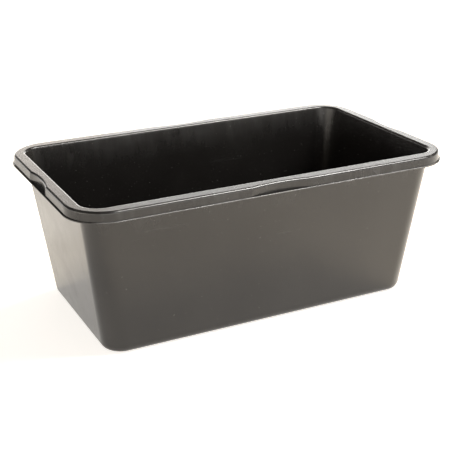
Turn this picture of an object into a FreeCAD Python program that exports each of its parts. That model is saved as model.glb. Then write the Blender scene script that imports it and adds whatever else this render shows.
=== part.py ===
import FreeCAD, Part
import os
import Sketcher

# Mortar mixing tub: one thin-walled plastic moulding, open at the top, with four tapered
# walls, a rounded bottom edge and a turned-down rim that has a hand grip in each side.
# The moulding is divided where its surfaces change character: floor, bottom edge, walls,
# corners, rim flange, grips, skirt corners and rim lip. These regions meet face to face.
#
# Millimetres. +Z is up and +X runs along the tub, with the front wall on the -Y side.
# The origin is the middle of the flat base.

DIMENSIONS = {
    # Outline of the rim's lip, which is the widest part, and the height to the rim's top.
    "overall_length": 750,
    "overall_width": 443,
    "overall_height": 290,
    "lip_corner_radius": 76,
    # Outside of the walls, carried down to the base plane and up to the rim's top plane.
    "wall_thickness": 3,
    "base_length": 628,
    "base_width": 331,
    "mouth_length": 702,
    "mouth_width": 390,
    "wall_corner_radius": 40,
    "bottom_radius": 14.5,
    "mouth_rounding": 4.5,
    # Rim. Setbacks are measured inwards from the lip's outline.
    "flange_thickness": 3,
    "shoulder_radius": 4.5,
    "skirt_thickness": 2.4,
    "skirt_height": 17,
    "skirt_top_setback": 3.7,
    "skirt_foot_setback": 2.6,
    "lip_thickness": 2.6,
    "lip_rounding": 0.8,
    # Hand grips, where the skirt bends inwards along an arc.
    "grip_setback": 9,
    "end_grip_length": 100,
    "side_grip_length": 120,
    "grip_entry_radius": 8,
    # Clearance of the dividing lines from the curves that they run beside.
    "corner_seam_margin": 2,
    "shoulder_seam_margin": 0.5,
    "grip_seam_margin": 8,
}

DOC = FreeCAD.newDocument("mortar_tub")
SHEET = DOC.addObject("Spreadsheet::Sheet", "Sizes")
TOLERANCE = 1e-3
# Where the grips' circles start from before their constraints place and size them.
START_REACH = 500
START_RADIUS = 200


def fill_sheet():
    for row, (alias, value) in enumerate(DIMENSIONS.items(), start=1):
        SHEET.set(f"A{row}", alias.replace("_", " "))
        SHEET.set(f"B{row}", str(value))
        SHEET.setAlias(f"B{row}", alias)
    DOC.recompute()


def cell(alias):
    return f"Sizes.{alias}"


def size_of(alias):
    return float(SHEET.get(alias))


# Heights of the dividing planes and of the rim's levels, as expressions on the sheet.
BASE = "0"
FLOOR_TOP = cell("wall_thickness")
BEND_TOP = cell("bottom_radius")
RIM_TOP = cell("overall_height")
WALL_TOP = f"({RIM_TOP} - {cell('mouth_rounding')})"
FLANGE_BOTTOM = f"({RIM_TOP} - {cell('flange_thickness')})"
SKIRT_FOOT = f"({RIM_TOP} - {cell('skirt_height')})"
RIM_BOTTOM = f"({SKIRT_FOOT} - {cell('lip_thickness')})"


class Level:
    """A rectangle's extent in X and Y at a height, in sheet expressions."""

    def __init__(self, height, x_range, y_range):
        self.height = height
        self.x_range = x_range
        self.y_range = y_range

    @classmethod
    def centred(cls, height, length, width, inset="0"):
        half_x = f"(({length}) / 2 - ({inset}))"
        half_y = f"(({width}) / 2 - ({inset}))"
        return cls(height, (f"-{half_x}", half_x), (f"-{half_y}", half_y))

    def limited(self, x_range=None, y_range=None):
        """The same level with one or both of its ranges replaced."""
        return Level(self.height, x_range or self.x_range, y_range or self.y_range)


def wall_level(height, inset="0"):
    """Outside of the tapered walls at a height, on the straight lines from base to mouth."""
    length, width = (
        f"{cell('base_' + size)} + ({cell('mouth_' + size)} - {cell('base_' + size)})"
        f" * {height} / {RIM_TOP}"
        for size in ("length", "width")
    )
    return Level.centred(height, length, width, inset)


def skirt_level(height, inset="0"):
    """Outside of the flared skirt at a height."""
    flare = f"({cell('skirt_top_setback')} - {cell('skirt_foot_setback')})"
    rise = f"({height} - {SKIRT_FOOT}) / {cell('skirt_height')}"
    setback = f"{cell('skirt_foot_setback')} + {flare} * {rise} + {inset}"
    return lip_level(height, setback)


def lip_level(height, inset="0"):
    return Level.centred(height, cell("overall_length"), cell("overall_width"), inset)


# Features -----------------------------------------------------------------------------------


def set_wedge(feature, low, high):
    """Give a wedge feature flat sides that run from one level to another."""
    y_becomes_z = FreeCAD.Rotation(FreeCAD.Vector(1, 0, 0), 90)
    feature.Placement = FreeCAD.Placement(FreeCAD.Vector(), y_becomes_z)
    feature.setExpression("Ymin", low.height)
    feature.setExpression("Ymax", high.height)
    for level, prefix in ((low, ""), (high, "2")):
        feature.setExpression(f"X{prefix}min", level.x_range[0])
        feature.setExpression(f"X{prefix}max", level.x_range[1])
        feature.setExpression(f"Z{prefix}min", f"-{level.y_range[1]}")
        feature.setExpression(f"Z{prefix}max", f"-{level.y_range[0]}")
    DOC.recompute()
    return feature


def block(name, low, high):
    return set_wedge(DOC.addObject("Part::Wedge", name), low, high)


def boolean(kind, name, base, tool):
    feature = DOC.addObject(f"Part::{kind}", name)
    feature.Base = base
    feature.Tool = tool
    DOC.recompute()
    return feature


def fillet(body, name, base, chosen, radius):
    """Round those edges of a body's feature that the chosen test accepts."""
    picked = [f"Edge{i}" for i, edge in enumerate(base.Shape.Edges, start=1) if chosen(edge)]
    feature = body.newObject("PartDesign::Fillet", name)
    feature.Base = (base, picked)
    feature.setExpression("Radius", radius)
    DOC.recompute()
    return feature


def is_upright(edge):
    return edge.BoundBox.ZLength > TOLERANCE


def lies_at(edge, height):
    box = edge.BoundBox
    return abs(box.ZMin - height) < TOLERANCE and abs(box.ZMax - height) < TOLERANCE


def lies_within(edge, half_x, half_y):
    box = edge.BoundBox
    return max(-box.XMin, box.XMax) < half_x and max(-box.YMin, box.YMax) < half_y


def rounded_block(name, low, high, corner_radius):
    """A body with flat sides between two levels and four rounded upright corners."""
    body = DOC.addObject("PartDesign::Body", name)
    sides = set_wedge(body.newObject("PartDesign::AdditiveWedge", f"{name}_sides"), low, high)
    return body, fillet(body, f"{name}_corners", sides, is_upright, corner_radius)


def constrain(sketch, *constraint):
    return sketch.addConstraint(Sketcher.Constraint(*constraint))


def bind(sketch, name, expression, *constraint):
    sketch.renameConstraint(constrain(sketch, *constraint), name)
    sketch.setExpression(f"Constraints.{name}", expression)


def cut_grips(body, name, inset):
    """Pocket two pairs of circles that stand outside the rim, one pair on each axis."""
    plane = next(item for item in body.Origin.OriginFeatures if item.Role == "XY_Plane")
    sketch = body.newObject("Sketcher::SketchObject", f"{name}_arcs")
    sketch.AttachmentSupport = [(plane, "")]
    sketch.MapMode = "FlatFace"
    x_axis, y_axis, centre, start_point = -1, -2, 3, 1
    origin = (x_axis, start_point)
    pairs = [
        ("overall_length", "end_grip_length", x_axis, "DistanceX", FreeCAD.Vector(1, 0, 0)),
        ("overall_width", "side_grip_length", y_axis, "DistanceY", FreeCAD.Vector(0, 1, 0)),
    ]
    for overall, chord, axis, distance, direction in pairs:
        # The arc passes through the chord's ends at the skirt's foot.
        depth = f"({cell('grip_setback')} - {cell('skirt_foot_setback')})"
        radius = f"(({cell(chord)} ^ 2 / 4 + {depth} ^ 2) / (2 * {depth}))"
        spread = f"{cell(overall)} - 2 * {cell('grip_setback')} + 2 * {radius}"
        near, far = (
            sketch.addGeometry(Part.Circle(direction * reach, FreeCAD.Vector(0, 0, 1), START_RADIUS))
            for reach in (-START_REACH, START_REACH)
        )
        constrain(sketch, "PointOnObject", near, centre, axis)
        constrain(sketch, "Symmetric", near, centre, far, centre, *origin)
        constrain(sketch, "Equal", near, far)
        bind(
            sketch, f"{chord}_spread", spread, distance, near, centre, far, centre, 2 * START_REACH
        )
        bind(sketch, f"{chord}_radius", f"{radius} + {inset}", "Radius", near, START_RADIUS)
    pocket = body.newObject("PartDesign::Pocket", name)
    pocket.Profile = sketch
    pocket.Type = "ThroughAll"
    pocket.SideType = "Symmetric"
    DOC.recompute()
    return pocket


# Forms that the moulding is cut from ---------------------------------------------------------


def tub_form(name, floor, floor_height, inset):
    """The tub's outside or inside as a solid block with a rounded bottom edge."""
    corner = f"{cell('wall_corner_radius')} - {inset}"
    low, high = wall_level(floor, inset), wall_level(RIM_TOP, inset)
    body, corners = rounded_block(name, low, high, corner)
    bottom = f"{cell('bottom_radius')} - {inset}"
    fillet(body, f"{name}_bottom", corners, lambda edge: lies_at(edge, floor_height), bottom)
    return body


def gripped_form(name, low, high, inset="0"):
    """A block that follows the skirt, brought in by an inset, with grips in its sides."""
    corner = f"{cell('lip_corner_radius')} - {cell('skirt_foot_setback')} - {inset}"
    body, _ = rounded_block(name, skirt_level(low, inset), skirt_level(high, inset), corner)
    return body, cut_grips(body, f"{name}_grips", inset)


def rim_form():
    """The rim as a block with grips, a rounded shoulder and the mouth with its rounding."""
    top = size_of("overall_height")
    corner_x = size_of("overall_length") / 2 - size_of("lip_corner_radius")
    corner_y = size_of("overall_width") / 2 - size_of("lip_corner_radius")
    mouth_x, mouth_y = size_of("mouth_length") / 2, size_of("mouth_width") / 2
    wall = cell("wall_thickness")

    def at_grip_end(edge):
        return is_upright(edge) and (
            abs(edge.BoundBox.Center.x) < corner_x or abs(edge.BoundBox.Center.y) < corner_y
        )

    def at_shoulder(edge):
        return lies_at(edge, top)

    def at_mouth_corner(edge):
        return is_upright(edge) and lies_within(edge, mouth_x, mouth_y)

    def at_mouth_edge(edge):
        return lies_at(edge, top) and lies_within(edge, mouth_x, mouth_y)

    body, grips = gripped_form("rim_form", SKIRT_FOOT, RIM_TOP)
    entries = fillet(body, "grip_entries", grips, at_grip_end, cell("grip_entry_radius"))
    fillet(body, "shoulder", entries, at_shoulder, cell("shoulder_radius"))
    mouth = body.newObject("PartDesign::SubtractiveWedge", "mouth")
    set_wedge(mouth, wall_level(RIM_BOTTOM, wall), wall_level(RIM_TOP, wall))
    corner_radius = f"{cell('wall_corner_radius')} - {wall}"
    corners = fillet(body, "mouth_corners", mouth, at_mouth_corner, corner_radius)
    fillet(body, "mouth_edge", corners, at_mouth_edge, cell("mouth_rounding"))
    return body


def lip_form():
    """The lip as a plate with rounded outer edges."""
    body, corners = rounded_block(
        "lip_form", lip_level(RIM_BOTTOM), lip_level(SKIRT_FOOT), cell("lip_corner_radius")
    )
    fillet(body, "lip_edges", corners, lambda edge: not is_upright(edge), cell("lip_rounding"))
    return body


# Named regions of the moulding ----------------------------------------------------------------


def floor_regions(shell):
    """The flat floor, and the bend that joins it to the walls."""
    slab = block("foot_slab", lip_level(BASE), lip_level(BEND_TOP))
    foot = boolean("Common", "shell_foot", shell, slab)
    inset = cell("bottom_radius")
    flat, _ = rounded_block(
        "floor_form",
        Level.centred(BASE, cell("base_length"), cell("base_width"), inset),
        Level.centred(BEND_TOP, cell("base_length"), cell("base_width"), inset),
        f"{cell('wall_corner_radius')} - {inset}",
    )
    return [boolean("Common", "floor", foot, flat), boolean("Cut", "bottom_edge", foot, flat)]


def divide_ring(ring, name, low, high, side_name, corner_name):
    """Split a ring into four sides, as wide as two levels say, and the four corners between."""
    half_x, half_y = f"({cell('overall_length')} / 2)", f"({cell('overall_width')} / 2)"
    halves = {
        "front": {"y_range": (f"-{half_y}", "0")},
        "back": {"y_range": ("0", half_y)},
        "left": {"x_range": (f"-{half_x}", "0")},
        "right": {"x_range": ("0", half_x)},
    }
    nodes = []
    corners = ring
    for side, half in halves.items():
        zone = block(f"{name}_{side}_zone", low.limited(**half), high.limited(**half))
        nodes.append(boolean("Common", f"{side}_{side_name}", ring, zone))
        corners = boolean("Cut", f"{name}_without_{side}", corners, zone)
    for y_side in ("front", "back"):
        for x_side in ("left", "right"):
            quarter = {**halves[y_side], **halves[x_side]}
            corner = f"{y_side}_{x_side}"
            zone = block(f"{name}_{corner}_zone", low.limited(**quarter), high.limited(**quarter))
            nodes.append(boolean("Common", f"{corner}_{corner_name}", corners, zone))
    return nodes


def wall_regions(shell):
    """Four flat walls, and the four rounded corners between them."""
    slab = block("wall_slab", lip_level(BEND_TOP), lip_level(WALL_TOP))
    ring = boolean("Common", "shell_walls", shell, slab)
    reach = f"{cell('wall_corner_radius')} + {cell('corner_seam_margin')}"
    low, high = wall_level(BEND_TOP, reach), wall_level(WALL_TOP, reach)
    return divide_ring(ring, "wall", low, high, "wall", "corner")


def rim_regions(outside):
    """The flange, the lip, and the skirt between them as four grips and four corners."""
    neck_slab = block("neck_slab", lip_level(WALL_TOP), lip_level(RIM_TOP))
    neck = boolean("Common", "wall_neck", outside, neck_slab)
    channel, _ = gripped_form("channel_form", RIM_BOTTOM, FLANGE_BOTTOM, cell("skirt_thickness"))
    hollow = boolean("Cut", "rim_hollow", channel, neck)
    rim = boolean("Cut", "hollowed_rim", rim_form(), hollow)
    seam = f"({cell('shoulder_radius')} + {cell('shoulder_seam_margin')})"
    inner, _ = gripped_form("flange_form", RIM_BOTTOM, RIM_TOP, seam)
    skirt = boolean("Cut", "rim_skirt", rim, inner)
    margin = f"2 * {cell('grip_seam_margin')}"
    grip_x, grip_y = (f"{cell(f'{side}_grip_length')} + {margin}" for side in ("side", "end"))
    low, high = (Level.centred(height, grip_x, grip_y) for height in (SKIRT_FOOT, RIM_TOP))
    return [
        boolean("Common", "rim_flange", rim, inner),
        *divide_ring(skirt, "skirt", low, high, "grip", "skirt"),
        boolean("Cut", "rim_lip", lip_form(), channel),
    ]


def check_document():
    for item in DOC.Objects:
        if "Invalid" in item.State or "Error" in item.State:
            raise RuntimeError(f"{item.Name} is {item.State}")


def export(nodes):
    os.makedirs("parts", exist_ok=True)
    for node in nodes:
        if node.Shape.isNull() or not node.Shape.isValid():
            raise RuntimeError(f"{node.Label} has no valid shape")
        node.Shape.exportStep(f"parts/{node.Label}.step")
        print(f"{node.Label}: {len(node.Shape.Solids)} solid, {node.Shape.Volume / 1000:.1f} cm3")
    print(f"whole moulding: {sum(node.Shape.Volume for node in nodes) / 1000:.1f} cm3")


fill_sheet()
OUTSIDE = tub_form("outside_form", BASE, 0, "0")
INSIDE = tub_form("inside_form", FLOOR_TOP, size_of("wall_thickness"), cell("wall_thickness"))
SHELL = boolean("Cut", "shell", OUTSIDE, INSIDE)
NODES = floor_regions(SHELL) + wall_regions(SHELL) + rim_regions(OUTSIDE)
DOC.recompute()
check_document()
export(NODES)
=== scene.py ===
import math

import bmesh
import bpy
from mathutils import Euler, Matrix, Vector


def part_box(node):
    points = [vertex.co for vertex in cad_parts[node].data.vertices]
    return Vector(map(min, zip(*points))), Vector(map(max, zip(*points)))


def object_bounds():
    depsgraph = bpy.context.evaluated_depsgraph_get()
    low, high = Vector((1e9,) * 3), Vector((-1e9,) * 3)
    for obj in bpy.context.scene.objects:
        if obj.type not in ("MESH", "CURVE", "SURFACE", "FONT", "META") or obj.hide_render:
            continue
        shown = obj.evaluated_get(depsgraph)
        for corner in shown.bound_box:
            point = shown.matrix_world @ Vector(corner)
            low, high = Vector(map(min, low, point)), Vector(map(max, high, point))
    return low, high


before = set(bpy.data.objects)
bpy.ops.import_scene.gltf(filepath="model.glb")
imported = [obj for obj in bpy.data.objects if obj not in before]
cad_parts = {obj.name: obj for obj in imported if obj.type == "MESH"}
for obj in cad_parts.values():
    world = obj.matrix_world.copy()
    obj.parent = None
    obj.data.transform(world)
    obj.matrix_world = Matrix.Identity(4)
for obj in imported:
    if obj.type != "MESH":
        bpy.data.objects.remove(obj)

# One moulded plastic tub on a pale studio floor. Metres, in the same frame as the CAD: +Z up,
# +X along the tub, front on -Y, origin in the middle of the base.

cad_low, cad_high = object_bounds()
_, lip_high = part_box("rim_lip")
_, grip_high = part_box("front_grip")
scene = bpy.context.scene

# Yaw turns the camera from +Y towards +X, and pitch tips it down. Angles are in degrees, the
# lens and the sensor in millimetres.
CAMERA_PLACE = Vector((-0.8073, -1.6469, 0.8542))
CAMERA_YAW = 26.092
CAMERA_PITCH = 21.526
CAMERA_ROLL = -0.627
CAMERA_LENS = 79.37
SENSOR_WIDTH = 36.0

DARK_PLASTIC = (0.0090, 0.0082, 0.0076, 1)
PALE_PLASTIC = (0.0160, 0.0148, 0.0136, 1)
FLECK = (0.050, 0.046, 0.040, 1)
DUST = (0.080, 0.075, 0.068, 1)
RUBBED = (0.075, 0.073, 0.072, 1)
# The next colour lightens the lip's upper edge: a painted highlight, with some wear.
LIP_HIGHLIGHT_AND_WEAR = (0.180, 0.175, 0.170, 1)
HIGHLIGHT_TINT = (1, 0.97, 0.93, 1)

# How far each mark takes the plastic to the mark's colour, and what it adds to the roughness.
FLECK_SHARE = 0.5
RUBBED_SHARE = 0.35
RUBBED_ROUGHNESS = 0.10
DUST_ROUGHNESS = 0.3
# How strong a level scrape is beside an upright one.
SCRAPE_STRENGTH = 0.5

# Each band is where a mark begins and where it is full, measured along one axis: NEAR_RIM for
# # the rubbed marks, the others for the lip's painted highlight and wear.
NEAR_RIM = (cad_high.z - 0.065, cad_high.z - 0.005)
LONG_SIDE = (lip_high.y - 0.0165, lip_high.y - 0.0045)
LIP_EDGE = (lip_high.y - 0.0030, lip_high.y - 0.0020)
BESIDE_GRIP = (grip_high.x - 0.010, grip_high.x)
LIP_TOP = (lip_high.z - 0.0014, lip_high.z - 0.0004)

# A noise's coordinates are multiplied by these, which draws its marks out upright or level.
UPRIGHT = (1.0, 1.0, 0.22)
LEVEL = (0.10, 0.10, 2.6)

WAVE_DEPTH = 0.0006
SCRATCH_DEPTH = 0.00003
GRAIN_DEPTH = 0.00010

STAGE_RADIUS = 7.0
STAGE_SEGMENTS = 96
BACKDROP_HEIGHT = 1.2
# The floor is a little below the tub's base, so that the two don't share a plane.
FLOOR_HEIGHT = -0.0005

SKY_COLOUR = (1, 0.98, 0.95, 1)
SKY_STRENGTH = 0.09


def add_object(name, data):
    made = bpy.data.objects.new(name, data)
    scene.collection.objects.link(made)
    return made


# Materials -----------------------------------------------------------------------------------


class Graph:
    """Short calls for building one material's node graph."""

    def __init__(self, name):
        self.material = bpy.data.materials.new(name)
        self.material.use_nodes = True
        self.tree = self.material.node_tree
        self.shader = self.tree.nodes["Principled BSDF"]

    def node(self, kind, settings=(), **inputs):
        made = self.tree.nodes.new(kind)
        for key, value in dict(settings).items():
            setattr(made, key, value)
        for key, value in inputs.items():
            self.feed(made, key.replace("_", " "), value)
        return made

    def feed(self, node, socket, value):
        """Link or set one input, which is given by its name or its number."""
        target = node.inputs[socket]
        if isinstance(value, bpy.types.NodeSocket):
            self.tree.links.new(value, target)
        else:
            target.default_value = value

    def coordinates(self):
        """Object coordinates, which are in the same frame for every piece of the tub."""
        return self.node("ShaderNodeTexCoord").outputs["Object"]

    def axes(self):
        """The object coordinates one by one, as X, Y and Z."""
        return self.node("ShaderNodeSeparateXYZ", Vector=self.coordinates()).outputs

    def noise(self, scale, detail=2.0, roughness=0.5, stretch=(1, 1, 1)):
        place = self.node("ShaderNodeMapping", Vector=self.coordinates(), Scale=stretch)
        return self.node(
            "ShaderNodeTexNoise",
            Vector=place.outputs["Vector"],
            Scale=scale,
            Detail=detail,
            Roughness=roughness,
        ).outputs["Fac"]

    def ramp(self, value, low, high, out_low=0.0, out_high=1.0):
        """Map a range of one value to a range of another, clamped at both ends."""
        made = self.node(
            "ShaderNodeMapRange",
            {"clamp": True},
            Value=value,
            From_Min=low,
            From_Max=high,
            To_Min=out_low,
            To_Max=out_high,
        )
        return made.outputs["Result"]

    def math(self, operation, *values):
        made = self.node("ShaderNodeMath", {"operation": operation})
        for index, value in enumerate(values):
            self.feed(made, index, value)
        return made.outputs["Value"]

    def blend(self, factor, first, second):
        """Mix two colours. A colour mix's sockets share their names, so they go by number."""
        made = self.node("ShaderNodeMix", {"data_type": "RGBA"})
        self.feed(made, 0, factor)
        self.feed(made, 6, first)
        self.feed(made, 7, second)
        return made.outputs[2]

    def bump(self, height, depth, under=None):
        """Relief of a depth in metres, on top of another relief if one is given."""
        made = self.node("ShaderNodeBump", Height=height, Distance=depth, Strength=1.0)
        if under is not None:
            self.feed(made, "Normal", under)
        return made.outputs["Normal"]

    def connect(self, **sockets):
        for name, value in sockets.items():
            self.feed(self.shader, name.replace("_", " "), value)
        return self.material


def lip_highlight_and_wear(g):
    """A patchy light line painted along the upper edge of the lip, on the tub's two long sides: a
    painted highlight where that edge catches the light, with some wear.

    The ledge behind the edge, which shows only at the grips, isn't lightened.
    """
    place = g.axes()
    along = g.math("ABSOLUTE", place["X"])
    outward = g.math("ABSOLUTE", place["Y"])
    edge = g.ramp(outward, *LIP_EDGE)
    beside_grip = g.ramp(along, *BESIDE_GRIP)
    bare = g.math("MULTIPLY", g.ramp(outward, *LONG_SIDE), g.math("MAXIMUM", edge, beside_grip))
    upper = g.ramp(place["Z"], *LIP_TOP)
    patchy = g.ramp(g.noise(30.0, detail=3.0, roughness=0.6), 0.25, 0.55, 0.4, 1.0)
    return g.math("MULTIPLY", g.math("MULTIPLY", bare, upper), patchy)


def plastic_material(name, with_lip_highlight=False):
    """Black recycled polyethylene: mottled, a little waxy, scuffed and faintly dusty; on the lip,
    a painted highlight too.
    """
    g = Graph(name)
    mottle = g.ramp(g.noise(6.0, detail=4.0, roughness=0.6), 0.3, 0.7)
    base = g.blend(mottle, DARK_PLASTIC, PALE_PLASTIC)

    # Flecks of other plastic in the mix, and specks of dust.
    fleck = g.ramp(g.noise(520.0, detail=1.0), 0.72, 0.80)
    speck = g.ramp(g.noise(400.0, detail=0.0), 0.855, 0.875)
    base = g.blend(g.math("MULTIPLY", fleck, FLECK_SHARE), base, FLECK)
    base = g.blend(speck, base, DUST)

    # Rubbed marks: upright ones near the rim, where tubs nest, and long level scrapes, in
    # patches all over.
    upright = g.noise(42.0, detail=4.0, roughness=0.6, stretch=UPRIGHT)
    near_rim = g.ramp(g.axes()["Z"], *NEAR_RIM)
    rubbed = g.math("MULTIPLY", near_rim, g.ramp(upright, 0.45, 0.75, 0.15, 0.85))
    level = g.noise(26.0, detail=4.0, roughness=0.7, stretch=LEVEL)
    patches = g.ramp(g.noise(8.0), 0.50, 0.62)
    scraped = g.math("MULTIPLY", patches, g.ramp(level, 0.60, 0.78))
    worn = g.math("MAXIMUM", rubbed, g.math("MULTIPLY", scraped, SCRAPE_STRENGTH))
    base = g.blend(g.math("MULTIPLY", worn, RUBBED_SHARE), base, RUBBED)
    # On the lip: a painted highlight along its upper edge, with some wear.
    if with_lip_highlight:
        base = g.blend(lip_highlight_and_wear(g), base, LIP_HIGHLIGHT_AND_WEAR)

    # The polish varies in soft clouds and is broken by a fine moulded grain.
    clouds = g.noise(16.0, detail=5.0, roughness=0.7)
    rough = g.ramp(clouds, 0.3, 0.7, 0.15, 0.25)
    rough = g.math("ADD", rough, g.math("MULTIPLY", worn, RUBBED_ROUGHNESS))
    rough = g.math("ADD", rough, g.math("MULTIPLY", speck, DUST_ROUGHNESS))
    wave = g.bump(g.noise(7.0, detail=1.0, roughness=0.4), WAVE_DEPTH)
    scratch = g.bump(worn, SCRATCH_DEPTH, under=wave)
    grain = g.bump(g.noise(420.0, detail=3.0, roughness=0.7), GRAIN_DEPTH, under=scratch)
    return g.connect(
        Base_Color=base, Roughness=rough, IOR=1.5, Specular_Tint=HIGHLIGHT_TINT, Normal=grain
    )


def paper_material(name, albedo, glow, tint):
    """Matt paper with a glow of its own, so that it stays pale where the tub shades it."""
    return Graph(name).connect(
        Base_Color=(*(albedo * channel for channel in tint), 1),
        Roughness=0.9,
        Specular_IOR_Level=0.1,
        Emission_Color=(*tint, 1),
        Emission_Strength=glow,
    )


# Studio --------------------------------------------------------------------------------------


def add_camera():
    data = bpy.data.cameras.new("camera")
    data.lens = CAMERA_LENS
    data.sensor_width = SENSOR_WIDTH
    camera = add_object("camera", data)
    aim = Euler((math.radians(90 - CAMERA_PITCH), 0, math.radians(-CAMERA_YAW))).to_matrix()
    roll = Matrix.Rotation(math.radians(CAMERA_ROLL), 3, "Z")
    camera.matrix_world = Matrix.Translation(CAMERA_PLACE) @ (aim @ roll).to_4x4()
    scene.camera = camera


def stage_piece(name, material, height, make):
    mesh = bpy.data.meshes.new(name)
    shape = bmesh.new()
    make(shape)
    shape.to_mesh(mesh)
    shape.free()
    mesh.materials.append(material)
    piece = add_object(name, mesh)
    piece.location.z = height


def add_stage():
    """A round paper floor with a low paper backdrop standing all round its edge."""

    def disc(shape):
        bmesh.ops.create_circle(
            shape, cap_ends=True, segments=STAGE_SEGMENTS, radius=STAGE_RADIUS
        )

    def ring(shape):
        bmesh.ops.create_cone(
            shape,
            segments=STAGE_SEGMENTS,
            radius1=STAGE_RADIUS,
            radius2=STAGE_RADIUS,
            depth=BACKDROP_HEIGHT,
        )

    floor_paper = paper_material("floor_paper", albedo=0.75, glow=0.82, tint=(1.0, 0.965, 0.92))
    stage_piece("floor_stage", floor_paper, FLOOR_HEIGHT, disc)
    backdrop_paper = paper_material("backdrop_paper", albedo=0.8, glow=2.2, tint=(1.0, 0.99, 0.97))
    stage_piece("backdrop_stage", backdrop_paper, BACKDROP_HEIGHT / 2, ring)


def softbox(name, place, target, size, radiance, tint=(1, 1, 1)):
    """A rectangular light of even radiance that faces its target."""
    data = bpy.data.lights.new(name, "AREA")
    data.shape = "RECTANGLE"
    data.size, data.size_y = size
    data.energy = math.pi * size[0] * size[1] * radiance
    data.color = tint
    light = add_object(name, data)
    light.location = place
    light.rotation_mode = "QUATERNION"
    light.rotation_quaternion = (Vector(target) - Vector(place)).to_track_quat("-Z", "Y")
    return light


def add_lights():
    # The key lights the floor beside the tub, and leaves no warm streak along the rim.
    key = softbox(
        "key_softbox",
        place=(0.95, 0.45, 1.4),
        target=(0, 0, 0.1),
        size=(0.8, 0.8),
        radiance=21.0,
        tint=(1, 0.88, 0.68),
    )
    key.visible_glossy = False

    # One long softbox behind the tub, a little warmer at its left end.
    softbox(
        "back_softbox",
        place=(2.05, 3.28, 0.95),
        target=(0.50, -0.22, 0.5),
        size=(2.2, 1.9),
        radiance=2.9,
        tint=(1, 0.99, 0.97),
    )
    softbox(
        "warm_softbox",
        place=(0.54, 3.95, 0.95),
        target=(-1.01, 0.45, 0.5),
        size=(1.1, 1.9),
        radiance=2.6,
        tint=(1, 0.93, 0.86),
    )

    # Broad fills for the front wall and the left wall.
    softbox(
        "front_fill",
        place=(0.5, -5.5, 1.35),
        target=(0, 0, 0.3),
        size=(8.0, 2.6),
        radiance=1.4,
        tint=(1, 0.99, 0.98),
    )
    softbox(
        "left_fill",
        place=(-5.5, -1.2, 1.35),
        target=(0, 0, 0.3),
        size=(5.5, 2.6),
        radiance=1.3,
        tint=(1, 0.92, 0.80),
    )

    # Seen only in mirror reflections, where it draws the line along the front shoulder.
    line = softbox(
        "line_softbox",
        place=(0.75, -0.85, 2.2),
        target=(0, -0.22, 0.29),
        size=(1.7, 0.5),
        radiance=28.0,
    )
    line.visible_diffuse = False

    softbox(
        "right_softbox",
        place=(1.5, -0.9, 2.2),
        target=(0.4, -0.4, 0.2),
        size=(0.8, 1.2),
        radiance=22.0,
    )


def add_sky():
    world = bpy.data.worlds.new("studio")
    world.use_nodes = True
    sky = world.node_tree.nodes["Background"]
    sky.inputs["Color"].default_value = SKY_COLOUR
    sky.inputs["Strength"].default_value = SKY_STRENGTH
    scene.world = world


# The scene -----------------------------------------------------------------------------------

plastic = plastic_material("tub_plastic")
# The lip's plastic carries a painted highlight, with some wear, along its upper edge.
lip_highlight_plastic = plastic_material("lip_plastic", with_lip_highlight=True)
for name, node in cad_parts.items():
    for slot in node.material_slots:
        slot.material = lip_highlight_plastic if name == "rim_lip" else plastic

add_camera()
add_stage()
add_lights()
add_sky()
scene.view_settings.view_transform = "Standard"
